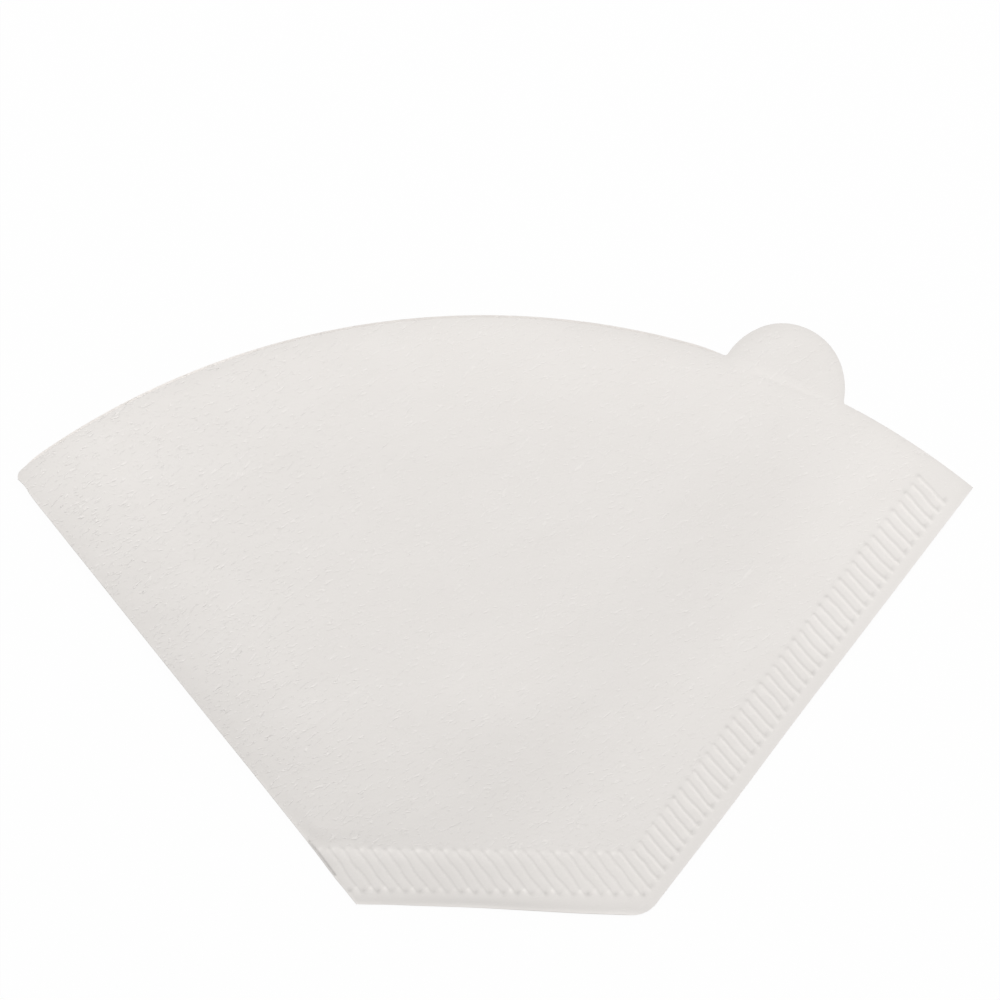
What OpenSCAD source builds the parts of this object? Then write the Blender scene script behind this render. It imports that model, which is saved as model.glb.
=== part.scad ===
// Flat-bottomed fan filter of creped paper, folded flat.
// One sheet is folded along the left side, and its two plies are crimped together along the
// right side and the base. The top arc is left open as the mouth, and the upper ply carries a
// round pull tab. The filter lies on its back ply. +X runs towards the side seam and +Y towards
// the mouth, from the middle of the outline's box.

/* [Sheet] */
// Thickness of one ply
paper = 0.2; // [0.15:0.01:0.3]
// Straight distance across the mouth, from the fold corner to the seam corner
mouth_w = 165.8; // [140:1:190]
// Rise of the mouth's arc above that straight line
mouth_rise = 28.5; // [20:0.5:36]
// Width of the base, from the fold line to the seam line
base_w = 50.2; // [40:0.5:60]
// Distance from the middle of the base to the middle of the mouth's straight line
side_h = 74.08; // [64:0.5:84]
// Distance of the base's middle to the seam side of the mouth's middle
base_shift = 1.52; // [0:0.1:5]
// Slope of the mouth's straight line, down towards the seam
mouth_tilt = 0.86; // [0:0.1:3]
// Slope of the base, down towards the seam
base_tilt = 2.48; // [0:0.1:4]
// Inward bow of the base's cut edge
base_bow = 0.15; // [0:0.05:0.6]
// Radius of the corner between the base and the side seam
seam_corner_r = 5.3; // [3:0.5:8]
// Radius of the blunt corner between the fold and the mouth
fold_corner_r = 1.7; // [1:0.5:4]

/* [Plies] */
// Height that the fold keeps open between the plies
fold_gap = 0.44; // [0.36:0.02:0.8]
// Height of the pillow that the upper ply makes over the lower one
pillow_h = 1.7; // [0.8:0.1:3]
// Distance over which the pillow rises from the side seam
side_run = 24; // [10:1:35]
// Distance over which the pillow rises from the base seam
base_run = 26; // [10:1:35]
// Distance over which the pillow rises from the fold
fold_run = 20; // [8:1:30]
// Distance over which the pillow rises from the mouth
mouth_run = 17; // [8:1:30]
// Share of the pillow that is left at the rim of the mouth
rim_share = 0.45; // [0.3:0.05:0.9]
// Distance by which the upper ply's rim stands back from the lower one's
rim_step = 0.45; // [0.2:0.05:1]
// Distance by which the upper ply stands back in the middle of the base
base_step = 0.3; // [0.1:0.05:0.6]

/* [Crimp] */
// Depth of the pressed grooves, which is also the height of the ribs under them
emboss = 0.25; // [0.15:0.01:0.32]
// Width of a groove at the surface
groove_w = 0.8; // [0.4:0.02:1]
// Distance between grooves along the side seam, at the mouth
side_pitch = 1.86; // [1.5:0.05:2.6]
// Growth of that distance from each groove to the next
pitch_growth = 0.00164; // [0:0.0005:0.004]
// Distance between grooves along the base
base_pitch = 2.412; // [1.8:0.05:3.2]
// Extra distance between the last groove of the side seam and the first one of the base
corner_skip = 0.07; // [0:0.05:1]
// Distance from the mouth's seam corner to the first groove
side_start = 4.7; // [2:0.1:8]
// Plain margin between the cut edge and the grooves, on the side seam
side_margin = 2.4; // [1.5:0.1:4]
// Plain margin between the cut edge and the grooves, on the base
base_margin = 2.9; // [1.5:0.1:4]
// Distance that the grooves reach across the side seam
side_band = 6; // [4:0.1:9]
// Distance that the grooves reach across the base seam
base_band = 7.2; // [4:0.1:9]
// Angle between the base's crimped band and its cut edge
band_tilt = 1.6; // [0:0.1:3]
// Slope of the grooves below the horizontal, at the mouth
groove_slope_mouth = 46.3; // [40:0.5:52]
// Slope of the grooves at the lower end of the side seam
groove_slope_corner = 50.5; // [42:0.5:56]
// Slope of the grooves along the base
groove_slope_base = 52.5; // [44:0.5:60]

/* [Tab] */
// Radius of the pull tab
tab_r = 11.2; // [8:0.1:14]
// Distance of the tab's centre to the seam side of the mouth's middle
tab_x = 49.7; // [35:0.5:60]
// Distance of the tab's centre above the mouth's middle
tab_y = 15.9; // [12:0.1:18]
// Radius of the blend between the tab and the rim
tab_blend = 0.8; // [0.3:0.1:2]

/* [Hidden] */

paper_colour = [0.925, 0.912, 0.895];

// Vectors in the plane of the sheet
function unit(v) = v / norm(v);
function heading(a) = [cos(a), sin(a)];
function angle_of(v) = atan2(v.y, v.x);
function left_of(v) = [-v.y, v.x];
function blend(a, b, t) = a + (b - a) * t;
// Rises from 0 to 1, steeply at first, and stays there
function ease(t) = t <= 0 ? 0 : t >= 1 ? 1 : 1 - (1 - t) * (1 - t);
// Distance from a along e to the circle of radius r about c
function reach(a, e, c, r) = let (q = a - c, h = q * e) sqrt(h * h - q * q + r * r) - h;

// Corners of the outline before rounding, from the middle of the mouth's straight line
chord = heading(-mouth_tilt);
foot = heading(-base_tilt);
foot_middle = [base_shift, -side_h];
fold_top = -chord * mouth_w / 2;
seam_top = chord * mouth_w / 2;
fold_foot = foot_middle - foot * base_w / 2;
seam_foot = foot_middle + foot * base_w / 2;
mouth_r = (mouth_rise * mouth_rise + mouth_w * mouth_w / 4) / (2 * mouth_rise);
mouth_c = left_of(chord) * (mouth_rise - mouth_r);
tab_c = [tab_x, tab_y];

// Directions of the sides, down towards the base, and the inward normals of all edges
fold_dir = unit(fold_foot - fold_top);
side_dir = unit(seam_foot - seam_top);
fold_in = left_of(fold_dir);
side_in = -left_of(side_dir);
foot_in = left_of(foot);
band_dir = heading(band_tilt - base_tilt);
band_in = left_of(band_dir);

// Distances of a point from the edges, and of the crimped bands' inner edges
function from_fold(p) = (p - fold_foot) * fold_in;
function from_side(p) = (p - seam_foot) * side_in;
function from_base(p) = (p - foot_middle) * band_in;
function from_mouth(p) = mouth_r - norm(p - mouth_c);
side_inner = side_margin + side_band;
base_inner = base_margin + base_band;

// Outline, counter-clockwise from the fold's foot. The cut edge of the base bows inwards by
// bow, and the fold line is moved outwards by spare.
arc_steps = 48;
corner_steps = 8;
bow_steps = 8;
fold_corner_c =
    let (a = fold_foot + fold_in * fold_corner_r)
    a - fold_dir * reach(a, -fold_dir, mouth_c, mouth_r - fold_corner_r);
seam_corner_c =
    let (rise = (1 - side_in * foot_in) / (-side_dir * foot_in))
    seam_foot + (side_in - side_dir * rise) * seam_corner_r;
function arc(c, r, from, to, steps) =
    [for (k = [0:steps]) c + r * heading(blend(from, to, k / steps))];
function base_edge(bow) =
    let (end = seam_corner_c - foot_in * seam_corner_r)
    [
        for (k = [0:bow_steps - 1])
            let (t = k / bow_steps)
            blend(fold_foot, end, t) + foot_in * bow * 4 * t * (1 - t)
    ];
function outline(bow, spare = 0) =
    let (
        mouth_start = angle_of(seam_top - mouth_c),
        mouth_end = angle_of(fold_corner_c - mouth_c)
    )
    concat(
        base_edge(bow),
        arc(seam_corner_c, seam_corner_r, angle_of(-foot_in), angle_of(-side_in), corner_steps),
        arc(mouth_c, mouth_r, mouth_start, mouth_end, arc_steps),
        arc(fold_corner_c, fold_corner_r, mouth_end, 360 + angle_of(-fold_in), corner_steps),
        [fold_corner_c - fold_in * (fold_corner_r + spare), fold_foot - fold_in * spare]
    );

// Middle of the box round the outline, which becomes the origin
edge_points = concat(outline(base_bow), [tab_c + [0, tab_r], tab_c + [tab_r, 0]]);
edge_x = [for (p = edge_points) p.x];
edge_y = [for (p = edge_points) p.y];
origin = [min(edge_x) + max(edge_x), min(edge_y) + max(edge_y)] / 2;

// Heights of the sheet. In the crimped bands both plies lie together on their ribs, and the
// loose sheet ends just inside them. Inside the bands the back ply comes down to the table, and
// the upper ply rises into the pillow. Past the rim the tab goes on falling at the rim's slope.
settle = 2.5;
bury = 0.04;
tab_gap = 0.1;
pressed_top = emboss + 2 * paper;
fold_share = (fold_gap - emboss) / pillow_h;
function pressed(p) = 1 - ease(min(from_side(p) - side_inner, from_base(p) - base_inner) / settle);
function mouth_share(t) = blend(rim_share, 1, t < 0 ? 2 * t : ease(t));
function pillow(p) =
    pillow_h * ease((from_side(p) - side_inner) / side_run)
    * ease((from_base(p) - base_inner) / base_run)
    * blend(fold_share, 1, ease(from_fold(p) / fold_run))
    * mouth_share(from_mouth(p) / mouth_run);
function under(p) = (emboss + bury) * pressed(p);
function over(p) = max(pressed_top + pillow(p) - bury * pressed(p), 2 * paper + tab_gap);
// Height of the surface on one side of the sheet, inset from the outside. A share under 1 is a
// place on the round of the fold.
function height(p, side, share, inset) =
    share == 1 ? (side > 0 ? over(p) - inset : under(p) + inset)
    : (over(p) + under(p)) / 2 + side * share * ((over(p) - under(p)) / 2 - inset);

// Columns run from the base to the mouth. Each has a point on the base line, one on the mouth's
// straight line, and its share of the half height, which is under 1 on the round of the fold.
fold_r = paper + fold_gap / 2;
fold_steps = 3;
middle_columns = 8;
near_steps = [0, 0.15, 0.35, 0.65, 1];
function fold_line(at_base, at_mouth, share) =
    [
        fold_foot + foot * at_base / (foot * fold_in),
        fold_top + chord * at_mouth / (chord * fold_in),
        share
    ];
function side_line(at_base, at_mouth) =
    [
        seam_foot + foot * at_base / (foot * side_in),
        seam_top + chord * at_mouth / (chord * side_in),
        1
    ];
function fold_column(w, share = 1) = fold_line(w, w, share);
function side_column(w) = side_line(w, w);
function round_columns(r, inset) =
    [
        for (k = [0:fold_steps - 1])
            let (a = 90 * (k + 0.5) / (fold_steps - 0.5))
            fold_column(inset + r * (1 - cos(a)), sin(a))
    ];

// The columns of the fold's and the side seam's runs are closer together at the base, so that
// they leave a share of the base's width between them
middle_share = 0.15;
function along_base(at_fold, at_side) = at_fold / (foot * fold_in) - at_side / (foot * side_in);
field_start = along_base(fold_r, side_inner + settle);
field_run = along_base(fold_run - fold_r, side_run - settle);
squeeze = min(1, (base_w * (1 - middle_share) - field_start) / field_run);
function fold_field(s) =
    fold_line(blend(fold_r, fold_run, s * squeeze), blend(fold_r, fold_run, s), 1);
function side_field(s) =
    side_line(
        side_inner + blend(settle, side_run, s * squeeze),
        side_inner + blend(settle, side_run, s)
    );
function field_columns() =
    concat(
        [for (k = [1:len(near_steps) - 1]) fold_field(near_steps[k])],
        [for (k = [1:middle_columns - 1]) blend(fold_field(1), side_field(1), k / middle_columns)],
        [for (k = [len(near_steps) - 1:-1:0]) side_field(near_steps[k])]
    );

// Rows are places on a column: at a height above the base, at a depth below the mouth's arc, or
// at a share of the way between them
ABOVE_BASE = 0;
BELOW_MOUTH = 1;
BETWEEN = 2;
middle_rows = 7;
mouth_rows = 4;
function place(c, row) =
    let (
        e = unit(c[1] - c[0]),
        low = (base_inner + base_run - from_base(c[0])) / (e * band_in),
        rim = reach(c[0], e, mouth_c, mouth_r),
        at = row[0] == ABOVE_BASE ? (row[1] - from_base(c[0])) / (e * band_in)
            : row[0] == BELOW_MOUTH ? rim - row[1]
            : blend(low, rim - mouth_run, row[1])
    )
    c[0] + e * at;
function field_rows(beyond) =
    concat(
        [for (s = near_steps) [ABOVE_BASE, base_inner + blend(settle, base_run, s)]],
        [for (k = [1:middle_rows - 1]) [BETWEEN, k / middle_rows]],
        [for (k = [len(near_steps) - 1:-1:0]) [BELOW_MOUTH, mouth_run * near_steps[k]]],
        [for (k = [1:mouth_rows]) [BELOW_MOUTH, -beyond * k / mouth_rows]]
    );

// Closed solid between the sheet's upper and lower surface, each inset by its own amount
module slab(rows, columns, upper_inset, lower_inset) {
    nr = len(rows);
    nc = len(columns);
    points = [
        for (side = [1, -1], r = rows, c = columns)
            let (p = place(c, r), inset = side > 0 ? upper_inset : lower_inset)
            [p.x, p.y, height(p, side, c[2], inset)]
    ];
    function at(side, r, c) = (side * nr + r) * nc + c;
    faces = [
        for (r = [0:nr - 2], c = [0:nc - 2])
            each [
                [at(0, r, c), at(0, r + 1, c), at(0, r + 1, c + 1)],
                [at(0, r, c), at(0, r + 1, c + 1), at(0, r, c + 1)],
                [at(1, r, c), at(1, r + 1, c + 1), at(1, r + 1, c)],
                [at(1, r, c), at(1, r, c + 1), at(1, r + 1, c + 1)]
            ],
        for (r = [0:nr - 2])
            each [
                [at(0, r, 0), at(1, r, 0), at(1, r + 1, 0), at(0, r + 1, 0)],
                [at(0, r, nc - 1), at(0, r + 1, nc - 1), at(1, r + 1, nc - 1), at(1, r, nc - 1)]
            ],
        for (c = [0:nc - 2])
            each [
                [at(0, 0, c), at(0, 0, c + 1), at(1, 0, c + 1), at(1, 0, c)],
                [at(0, nr - 1, c), at(1, nr - 1, c), at(1, nr - 1, c + 1), at(0, nr - 1, c + 1)]
            ]
    ];
    polyhedron(points, faces, convexity = 4);
}

// Both plies and the round of the fold, without the space between them. The underside is cut
// flat later, so it starts a little low.
past = 1.5;
low = bury / 2;
module loose_sheet() {
    rows = concat(
        [for (w = [-past, base_inner, base_inner + settle / 2]) [ABOVE_BASE, w]],
        field_rows(tab_r + past)
    );
    columns = concat(
        round_columns(fold_r, 0),
        field_columns(),
        [for (w = [side_inner + settle / 2, side_inner, -past]) side_column(w)]
    );
    slab(rows, columns, 0, -low);
}

// The pressed bands of the side seam and the base, up to the round of the fold
module pressed_bands() {
    lap = 0.5;
    fold_edge = fold_column(paper);
    side_edge = side_column(-past);
    side_end = side_column(side_inner + lap);
    translate([0, 0, emboss])
        linear_extrude(pressed_top - emboss)
            polygon([
                place(fold_edge, [ABOVE_BASE, -past]),
                place(side_edge, [ABOVE_BASE, -past]),
                place(side_edge, [BELOW_MOUTH, -past]),
                place(side_end, [BELOW_MOUTH, -past]),
                place(side_end, [ABOVE_BASE, base_inner + lap]),
                place(fold_edge, [ABOVE_BASE, base_inner + lap])
            ]);
}

// The space between the plies, which runs out through the mouth
module pocket() {
    seam_gap = 0.3;
    rows = concat(
        [for (w = [seam_gap, settle / 2]) [ABOVE_BASE, base_inner + w]],
        field_rows(tab_r + 2 * past)
    );
    columns = concat(
        round_columns(fold_r - paper, paper),
        field_columns(),
        [for (w = [settle / 2, seam_gap]) side_column(side_inner + w)]
    );
    slab(rows, columns, paper, paper);
}

// The upper ply near the mouth, in plan: the rim that stands back, blended into the tab
rim_steps = 240;
tab_steps = 60;
module rim_and_tab() {
    offset(r = -tab_blend)
        offset(r = tab_blend) {
            translate(mouth_c)
                circle(mouth_r - rim_step, $fn = rim_steps);
            translate(tab_c)
                circle(tab_r, $fn = tab_steps);
        }
}

// Strips in which the lower ply shows past the upper one: along the mouth, from the fold corner
// to the tab, and along the bow of the base
module rim_strip() {
    beyond = mouth_r + tab_r;
    difference() {
        polygon([
            mouth_c,
            tab_c + (tab_c - mouth_c),
            mouth_c + beyond * left_of(chord),
            mouth_c - 2 * beyond * fold_dir
        ]);
        rim_and_tab();
    }
}
module base_strip() {
    drop = -foot_in * past;
    polygon(concat(base_edge(base_bow + base_step), [seam_foot + drop, fold_foot + drop]));
}

// Where the paper is, in plan, with the tab clear of the table
module cut_plies() {
    joint = emboss + paper;
    top = pressed_top + pillow_h + 1;
    tab_base = paper + tab_gap / 2;
    difference() {
        linear_extrude(top)
            polygon(outline(base_bow, past));
        translate([0, 0, joint])
            linear_extrude(top) {
                rim_strip();
                base_strip();
            }
    }
    translate([0, 0, tab_base])
        linear_extrude(top - tab_base)
            intersection() {
                rim_and_tab();
                translate(tab_c)
                    circle(tab_r + 2 * tab_blend, $fn = tab_steps);
            }
}

// Grooves run down towards the seam. Those of the side seam start at the mouth, and those of
// the base go on from them towards the fold, along the middle of each band.
side_track = side_margin + side_band / 2;
base_track = base_margin + base_band / 2;
track_start = seam_top + side_in * side_track;
track_length = (base_track - from_base(track_start)) / (side_dir * band_in);
most_grooves = 100;
function side_at(i) = side_start + side_pitch * i + pitch_growth * i * (i - 1) / 2;
corner_reach = track_length + side_pitch / 2;
side_count = max([for (i = [0:most_grooves]) if (side_at(i) <= corner_reach) i]);
function groove_line(i) =
    i <= side_count ? side_groove(i) : base_groove(i - side_count);
function side_groove(i) =
    [
        track_start + side_dir * side_at(i),
        heading(-blend(groove_slope_mouth, groove_slope_corner, i / side_count))
    ];
corner_point =
    let (g = side_groove(side_count))
    g[0] + g[1] * (base_track - from_base(g[0])) / (g[1] * band_in);
base_run_length = from_fold(corner_point) / (band_dir * fold_in) - corner_skip;
base_count = floor(base_run_length / base_pitch);
function base_groove(j) =
    [corner_point - band_dir * (corner_skip + base_pitch * j), heading(-groove_slope_base)];
function groove_ends(g) =
    let (
        side_rate = g[1] * side_in,
        base_rate = g[1] * band_in,
        side_at = from_side(g[0]),
        base_at = from_base(g[0]),
        outer = min((side_margin - side_at) / side_rate, (base_margin - base_at) / base_rate),
        inner = min((side_inner - side_at) / side_rate, (base_inner - base_at) / base_rate)
    )
    [g[0] + g[1] * (inner + groove_w / 2), g[0] + g[1] * (outer - groove_w / 2)];

// A tapered bar with round ends between two points of the sheet
groove_steps = 8;
rib_steps = 6;
module bar(ends, bottom, top, r_bottom, r_top, sides) {
    hull()
        for (p = ends)
            translate([p.x, p.y, bottom])
                cylinder(top - bottom, r_bottom, r_top, $fn = sides);
}

floor_share = 0.4;
function floor_r(w) = floor_share * w / 2;
module groove(ends) {
    over_cut = 0.1;
    r = floor_r(groove_w);
    widening = (groove_w / 2 - r) * (1 + over_cut / emboss);
    bar(ends, 2 * paper, pressed_top + over_cut, r, r + widening, groove_steps);
}
module rib(ends) {
    rib_w = groove_w + paper;
    bar(ends, 0, emboss + paper / 2, floor_r(rib_w), rib_w / 2, rib_steps);
}

module filter() {
    grooves = [for (i = [0:side_count + base_count]) groove_ends(groove_line(i))];
    color(paper_colour)
        translate(-origin)
            difference() {
                union() {
                    intersection() {
                        union() {
                            loose_sheet();
                            pressed_bands();
                        }
                        cut_plies();
                    }
                    for (ends = grooves)
                        rib(ends);
                }
                pocket();
                for (ends = grooves)
                    groove(ends);
            }
}

filter();
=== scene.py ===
import math

import bpy
import numpy as np
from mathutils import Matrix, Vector
from mathutils.geometry import delaunay_2d_cdt


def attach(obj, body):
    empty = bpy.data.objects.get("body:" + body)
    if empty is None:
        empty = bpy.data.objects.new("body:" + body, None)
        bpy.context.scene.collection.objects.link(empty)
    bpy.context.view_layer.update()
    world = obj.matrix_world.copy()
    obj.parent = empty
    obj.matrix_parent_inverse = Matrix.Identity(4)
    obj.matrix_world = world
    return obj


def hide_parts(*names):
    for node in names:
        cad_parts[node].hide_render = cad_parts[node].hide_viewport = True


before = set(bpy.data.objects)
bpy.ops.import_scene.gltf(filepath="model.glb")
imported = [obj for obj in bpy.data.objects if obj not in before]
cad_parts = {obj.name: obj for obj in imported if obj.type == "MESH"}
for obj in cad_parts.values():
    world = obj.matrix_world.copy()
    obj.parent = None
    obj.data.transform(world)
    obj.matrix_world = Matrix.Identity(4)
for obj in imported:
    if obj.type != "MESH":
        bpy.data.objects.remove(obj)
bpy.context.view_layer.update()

# Outline of the folded sheet, in millimetres and degrees, from the middle of the mouth's chord
PAPER = 0.2
MOUTH_W = 165.8
MOUTH_RISE = 28.5
MOUTH_TILT = 0.86
BASE_W = 50.2
BASE_SHIFT = 1.52
BASE_TILT = 2.48
SIDE_H = 74.08
SEAM_CORNER_R = 5.3
FOLD_CORNER_R = 1.7
TAB_R = 11.2
TAB_C = np.array([49.7, 15.9])

# How far the upper ply's cut edge stands back, along the mouth, at mid-base and elsewhere
RIM_STEP = 0.45
BASE_STEP = 0.03
FLUSH_STEP = 0.04
# Degrees of the mouth's arc over which its step begins and ends
STEP_TURN = 1.5

# Rise of the upper ply from the seams, the fold and the mouth
PILLOW_H = 1.7
SIDE_RUN = 33.0
SIDE_POWER = 1.5
BASE_RUN = 25.6
FOLD_RUN = 14.0
FOLD_SHARE = 0.26
MOUTH_RUN = 24.0
RIM_SHARE = 0.5
TAB_FALL = 0.5
# Least gap between the plies, and how far the round of the fold stands out
PLY_GAP = 0.1
FOLD_R = 0.12

# Crimped bands: height above the floor, run down from it, closure past them, and their widths
EMBOSS = 0.25
SETTLE = 2.5
CLOSURE = 0.3
SIDE_MARGIN = 2.4
BASE_MARGIN = 2.9
SIDE_BAND = 6.0
BASE_BAND = 7.2
BAND_TILT = 1.6
PRESSED_TOP = EMBOSS + 2 * PAPER

# Places and slopes of the grooves
SIDE_COUNT = 44
SIDE_START = 4.7
SIDE_PITCH = 1.86
PITCH_GROWTH = 0.00164
BASE_COUNT = 22
BASE_PITCH = 2.412
CORNER_SKIP = 0.07
SLOPE_MOUTH = 46.3
SLOPE_CORNER = 50.5
SLOPE_BASE = 52.5


# Plane geometry on arrays of points
def heading(a):
    return np.array([math.cos(math.radians(a)), math.sin(math.radians(a))])


def unit(v):
    return v / np.linalg.norm(v)


def angle_of(v):
    return math.degrees(math.atan2(v[1], v[0]))


def left_of(v):
    return np.array([-v[1], v[0]])


def mix(a, b, t):
    return a + (b - a) * t


def ease(t):
    t = np.clip(t, 0, 1)
    return 1 - (1 - t) ** 2


def smooth(t):
    t = np.clip(t, 0, 1)
    return t * t * (3 - 2 * t)


def ramp(t, start, run):
    """0 up to the start and 1 past the run, which goes backwards where it is negative"""
    return smooth((t - start) / run)


def bump(t, middle, width):
    return np.exp(-(((t - middle) / width) ** 2))


def fading(distance, length):
    """1 at no distance, and less by a factor of e with each length"""
    return np.exp(-np.maximum(distance, 0) / length)


def blob(p, centre, size):
    """1 at the centre, and fading round it over its size"""
    off = p - np.array(centre)
    return np.exp(-(off * off).sum(1) / size ** 2)


def reach(a, e, c, r):
    """Distance from a along the direction e to the circle round c"""
    q = a - c
    h = q @ e
    return math.sqrt(h * h - q @ q + r * r) - h


CHORD = heading(-MOUTH_TILT)
FOOT = heading(-BASE_TILT)
FOOT_MIDDLE = np.array([BASE_SHIFT, -SIDE_H])
FOLD_TOP = -CHORD * MOUTH_W / 2
SEAM_TOP = CHORD * MOUTH_W / 2
FOLD_FOOT = FOOT_MIDDLE - FOOT * BASE_W / 2
SEAM_FOOT = FOOT_MIDDLE + FOOT * BASE_W / 2
MOUTH_R = (MOUTH_RISE ** 2 + MOUTH_W ** 2 / 4) / (2 * MOUTH_RISE)
MOUTH_C = left_of(CHORD) * (MOUTH_RISE - MOUTH_R)
FOLD_DIR = unit(FOLD_FOOT - FOLD_TOP)
SIDE_DIR = unit(SEAM_FOOT - SEAM_TOP)
FOLD_IN = left_of(FOLD_DIR)
SIDE_IN = -left_of(SIDE_DIR)
FOOT_IN = left_of(FOOT)
BAND_DIR = heading(BAND_TILT - BASE_TILT)
BAND_IN = left_of(BAND_DIR)
SIDE_INNER = SIDE_MARGIN + SIDE_BAND
BASE_INNER = BASE_MARGIN + BASE_BAND


def from_fold(p):
    return (p - FOLD_FOOT) @ FOLD_IN


def up_fold(p):
    return -(p - FOLD_FOOT) @ FOLD_DIR


def from_side(p):
    return (p - SEAM_FOOT) @ SIDE_IN


def from_cut_base(p):
    return (p - FOOT_MIDDLE) @ FOOT_IN


def from_base(p):
    """Distance from the line that the base's crimped band follows"""
    return (p - FOOT_MIDDLE) @ BAND_IN


def from_mouth(p):
    return MOUTH_R - np.linalg.norm(p - MOUTH_C, axis=-1)


def from_pocket(p):
    return np.minimum(from_side(p) - SIDE_INNER, from_base(p) - BASE_INNER)


# Smooth noise from seeded lattices, between about -1 and 1, cell by cell in millimetres
LATTICE = 128


def noise(p, cell_x, cell_y, angle, seed):
    lattice = np.random.default_rng(seed).uniform(-1, 1, (LATTICE, LATTICE))
    along = heading(angle)
    u = (p @ along) / cell_x
    v = (p @ left_of(along)) / cell_y
    iu = np.floor(u).astype(int)
    iv = np.floor(v).astype(int)
    fu = smooth(u - iu)
    fv = smooth(v - iv)
    a = lattice[iu % LATTICE, iv % LATTICE]
    b = lattice[(iu + 1) % LATTICE, iv % LATTICE]
    c = lattice[iu % LATTICE, (iv + 1) % LATTICE]
    d = lattice[(iu + 1) % LATTICE, (iv + 1) % LATTICE]
    return mix(mix(a, b, fu), mix(c, d, fu), fv)


def layers_of_noise(p, layers):
    """Sum of layers, each with its height, its cells along and across, its angle and its seed"""
    return sum(height * noise(p, *cells_and_seed) for height, *cells_and_seed in layers)


# The crimp: one row of grooves down the side seam, and on along the base towards the fold
TRACK_START = SEAM_TOP + SIDE_IN * (SIDE_MARGIN + SIDE_BAND / 2)
BASE_TRACK = BASE_MARGIN + BASE_BAND / 2
SIDE_GROOVE_INSET = -0.15
BASE_GROOVE_INSET = 0.2
RIDGE_INSET = 0.85
RIDGE_OFF = 0.1


def side_groove(i):
    at = SIDE_START + SIDE_PITCH * i + PITCH_GROWTH * i * (i - 1) / 2
    place = TRACK_START + SIDE_DIR * at
    return place, heading(-mix(SLOPE_MOUTH, SLOPE_CORNER, i / SIDE_COUNT))


def corner_point():
    place, way = side_groove(SIDE_COUNT)
    return place + way * (BASE_TRACK - from_base(place)) / (way @ BAND_IN)


def groove_line(i):
    """A point and the outward direction of each groove, counted from the mouth"""
    if i <= SIDE_COUNT:
        return side_groove(i)
    back = BASE_PITCH * (i - SIDE_COUNT) + CORNER_SKIP
    return corner_point() - BAND_DIR * back, heading(-SLOPE_BASE)


def line_ends(place, way, inner_inset, outer_inset):
    side_rate, base_rate = way @ SIDE_IN, way @ BAND_IN
    side_at, base_at = from_side(place), from_base(place)
    outer = min((SIDE_MARGIN - side_at) / side_rate, (BASE_MARGIN - base_at) / base_rate)
    inner = min((SIDE_INNER - side_at) / side_rate, (BASE_INNER - base_at) / base_rate)
    return place + way * (inner + inner_inset), place + way * (outer - outer_inset)


def groove_ends(i):
    inset = BASE_GROOVE_INSET if i > SIDE_COUNT else SIDE_GROOVE_INSET
    return line_ends(*groove_line(i), inset, 0.0)


def ridge_between(i):
    (a, way_a), (b, way_b) = groove_line(i), groove_line(i + 1)
    way = unit(way_a + way_b)
    return line_ends((a + b) / 2 - left_of(way) * RIDGE_OFF, way, RIDGE_INSET, RIDGE_INSET)


GROOVES = [groove_ends(i) for i in range(SIDE_COUNT + BASE_COUNT + 1)]
RIDGES = [ridge_between(i) for i in range(SIDE_COUNT + BASE_COUNT)]
SIDE_GROOVES, BASE_GROOVES = GROOVES[:SIDE_COUNT + 1], GROOVES[SIDE_COUNT + 1:]
SIDE_RIDGES, BASE_RIDGES = RIDGES[:SIDE_COUNT], RIDGES[SIDE_COUNT:]


def to_segments(p, ends, left_scale=1.0):
    """Distance of each point to the nearest of the segments, scaled to their left if asked"""
    nearest = np.full(len(p), np.inf)
    for a, b in ends:
        along = b - a
        t = np.clip(((p - a) @ along) / (along @ along), 0, 1)
        off = p - a - t[:, None] * along
        scale = np.where(off @ left_of(along) > 0, left_scale, 1.0)
        nearest = np.minimum(nearest, scale * np.hypot(off[:, 0], off[:, 1]))
    return nearest


# Sections of the grooves, of the ridges between them and of the ribs under them
GROOVE_FLOOR = 0.05
GROOVE_DEPTH = 0.07
GROOVE_WALL = 0.46
BASE_DEPTH = 0.041
BASE_WALL = 0.9
BASE_STEEP = 2.2
RIDGE_H = 0.04
BASE_RIDGE_H = 0.03
RIDGE_CREST = 0.5
RIDGE_WALL = 0.44
RIB_CREST = 0.14
RIB_WALL = 0.42
RIB_FADE = 0.5
WOBBLE = 0.13
BASE_WOBBLE = 0.2
WOBBLE_FADE = 2.0
WOBBLE_CELL = 2.2
WOBBLE_SEEDS = (21, 22)


def crimp(p):
    """Height that the crimping adds to the flat level of the pressed bands"""
    aside = [noise(p, WOBBLE_CELL, WOBBLE_CELL, 0, seed) for seed in WOBBLE_SEEDS]
    on_base = ramp(from_base(p), BASE_INNER + WOBBLE_FADE / 2, -WOBBLE_FADE)
    bent = p + mix(WOBBLE, BASE_WOBBLE, on_base)[:, None] * np.column_stack(aside)
    side_cut = 1 - ramp(to_segments(bent, SIDE_GROOVES), GROOVE_FLOOR, GROOVE_WALL)
    base_cut = 1 - ramp(to_segments(bent, BASE_GROOVES, BASE_STEEP), GROOVE_FLOOR, BASE_WALL)
    side_raised = 1 - ramp(to_segments(bent, SIDE_RIDGES), RIDGE_CREST, RIDGE_WALL)
    base_raised = 1 - ramp(to_segments(bent, BASE_RIDGES), RIDGE_CREST, RIDGE_WALL)
    raised = np.maximum(side_raised * RIDGE_H, base_raised * BASE_RIDGE_H)
    return raised - np.maximum(side_cut * GROOVE_DEPTH, base_cut * BASE_DEPTH)


def rib_depth(p):
    return EMBOSS * (1 - ramp(to_segments(p, GROOVES), RIB_CREST, RIB_WALL))


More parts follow.
